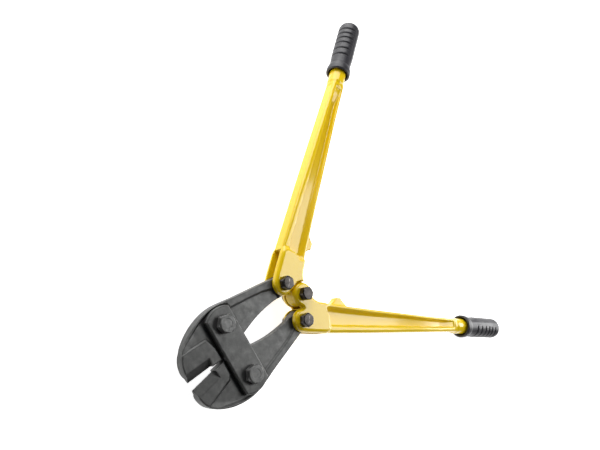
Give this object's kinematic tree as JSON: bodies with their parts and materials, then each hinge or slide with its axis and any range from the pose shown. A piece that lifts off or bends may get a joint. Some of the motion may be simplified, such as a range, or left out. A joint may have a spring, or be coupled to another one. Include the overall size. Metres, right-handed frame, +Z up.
{
  "type": "bolt cutters",
  "caption": "Long-handled centre-cut bolt cutters: short thick jaws between side straps, compound pivots, forged handles with rubber grips.",
  "frame": {"origin": "on the surface the tool lies on, under the middle of its bounding box", "axes": "X along the tool, jaws at -X and handles at +X; Y across it, the upper handle at +Y; Z up through its thickness, bolt heads on top"},
  "size_m": [0.6446, 0.6962, 0.0538],
  "materials": {
    "jaw_steel": "dark oxide, satin",
    "jaw_bolt_steel": "dark oxide, satin, polished by handling",
    "black_bolt_steel": "blackened, semi-gloss",
    "yellow_paint": "gloss enamel over forged steel",
    "grip_rubber": "matt, ribbed on the palm side"
  },
  "bodies": {
    "straps": {"strap_front": "jaw_steel", "strap_rear": "jaw_steel", "jaw_bolt_upper": "jaw_bolt_steel", "jaw_washer_upper": "jaw_bolt_steel", "jaw_nut_upper": "jaw_bolt_steel", "jaw_bolt_lower": "jaw_bolt_steel", "jaw_washer_lower": "jaw_bolt_steel", "jaw_nut_lower": "jaw_bolt_steel"},
    "jaw_upper": {"jaw_upper": "jaw_steel"},
    "jaw_lower": {"jaw_lower": "jaw_steel"},
    "handle_upper": {"handle_upper": "yellow_paint", "grip_upper": "grip_rubber", "handle_bolt_upper": "black_bolt_steel", "handle_washer_upper": "jaw_bolt_steel", "handle_nut_upper": "black_bolt_steel"},
    "handle_lower": {"handle_lower": "yellow_paint", "grip_lower": "grip_rubber", "handle_bolt_lower": "black_bolt_steel", "handle_washer_lower": "jaw_bolt_steel", "handle_nut_lower": "black_bolt_steel", "centre_bolt": "black_bolt_steel", "centre_washer": "jaw_bolt_steel", "centre_nut": "black_bolt_steel"}
  },
  "joints": [
    {"name": "jaw_upper_hinge", "type": "hinge", "parent": "straps", "child": "jaw_upper", "pos_m": [-0.24223, 0.0395, 0.0271], "axis": [0, 0, 1], "range_deg": [-0.8, 3.6]},
    {"name": "jaw_lower_hinge", "type": "hinge", "parent": "straps", "child": "jaw_lower", "pos_m": [-0.24223, -0.0395, 0.0271], "axis": [0, 0, -1], "range_deg": [-0.8, 3.6]},
    {"name": "handle_upper_hinge", "type": "hinge", "parent": "jaw_upper", "child": "handle_upper", "pos_m": [-0.12481, 0.03155, 0.0271], "axis": [0, 0, 1], "range_deg": [-38.13, 8]},
    {"name": "handle_lower_hinge", "type": "hinge", "parent": "jaw_lower", "child": "handle_lower", "pos_m": [-0.12481, -0.03155, 0.0271], "axis": [0, 0, -1], "range_deg": [-38.2, 8.1]}
  ],
  "couplings": [
    {"joint": "handle_lower_hinge", "follows": "handle_upper_hinge", "ratio": 1},
    {"joint": "jaw_upper_hinge", "follows": "handle_upper_hinge", "ratio": -0.092594},
    {"joint": "jaw_lower_hinge", "follows": "handle_upper_hinge", "ratio": -0.092594}
  ]
}
